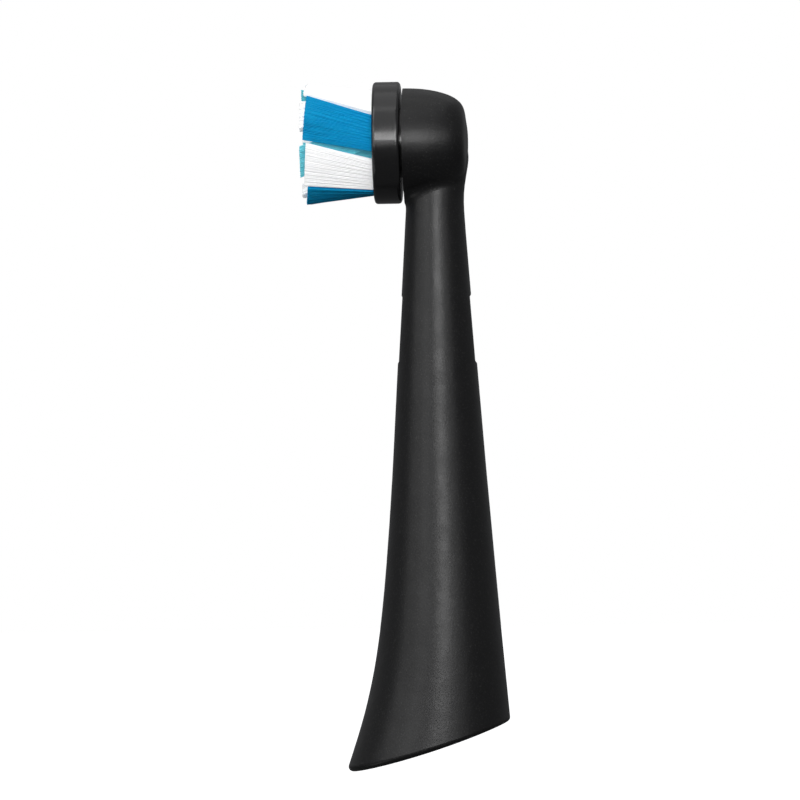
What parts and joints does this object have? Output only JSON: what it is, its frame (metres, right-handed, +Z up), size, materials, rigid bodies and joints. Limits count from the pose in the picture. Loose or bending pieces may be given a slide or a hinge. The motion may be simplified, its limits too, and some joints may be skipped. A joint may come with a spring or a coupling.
{
  "type": "replacement head for an oscillating electric toothbrush",
  "caption": "Replacement electric toothbrush head: a round bristle disc that turns to and fro on a tapering hollow neck with a flared, slanting skirt.",
  "frame": {"origin": "on the neck's axis, at the start of the round socket wall that the handle's stub enters", "axes": "+Z up the neck towards the brush disc, -Y the way the bristles point, +X to the right when facing the bristles"},
  "size_m": [0.017, 0.0241, 0.0833],
  "materials": {
    "black_shell": "fine satin",
    "black_disc": "satin",
    "inner_plastic": "moulded",
    "rod_plastic": "moulded acetal",
    "axle_steel": "ground",
    "spring_steel": "drawn wire",
    "magnet_plating": "nickel plate",
    "blue_bristle": "nylon filament",
    "white_bristle": "nylon filament",
    "turquoise_bristle": "nylon filament"
  },
  "bodies": {
    "housing_body": {"housing": "black_shell", "socket_insert": "inner_plastic", "grip_ring": "spring_steel", "lower_guide_bush": "inner_plastic", "upper_guide_bush": "inner_plastic", "return_spring": "spring_steel", "pivot_axle": "axle_steel", "retaining_ring": "spring_steel"},
    "brush": {"carrier": "black_disc", "tuft_plate": "black_disc", "blue_tuft_1": "blue_bristle", "blue_tuft_2": "blue_bristle", "blue_tuft_3": "blue_bristle", "outer_white_tuft_1": "white_bristle", "outer_white_tuft_2": "white_bristle", "outer_white_tuft_3": "white_bristle", "outer_white_tuft_4": "white_bristle", "outer_white_tuft_5": "white_bristle", "turquoise_tuft_1": "turquoise_bristle", "turquoise_tuft_2": "turquoise_bristle", "turquoise_tuft_3": "turquoise_bristle", "middle_white_tuft_1": "white_bristle", "middle_white_tuft_2": "white_bristle", "middle_white_tuft_3": "white_bristle", "inner_tuft_1": "turquoise_bristle", "inner_tuft_2": "turquoise_bristle", "inner_tuft_3": "turquoise_bristle", "inner_tuft_4": "turquoise_bristle", "inner_tuft_5": "turquoise_bristle", "inner_tuft_6": "turquoise_bristle", "centre_tuft": "white_bristle"},
    "rod": {"drive_rod": "rod_plastic", "coupling_pin": "axle_steel", "drive_magnet": "magnet_plating"}
  },
  "joints": [
    {"name": "rod_slide", "type": "slide", "parent": "housing_body", "child": "rod", "axis": [0, 0, 1], "range_m": [-0.00079, 0.00079], "stiffness_N_per_m": 300, "deforming": ["return_spring"]},
    {"name": "head_turn", "type": "hinge", "parent": "housing_body", "child": "brush", "pos_m": [0, 0, 0.06], "axis": [0, -1, 0], "range_deg": [-20, 20]}
  ],
  "couplings": [
    {"joint": "head_turn", "follows": "rod_slide", "rad_per_m": 440.45}
  ]
}
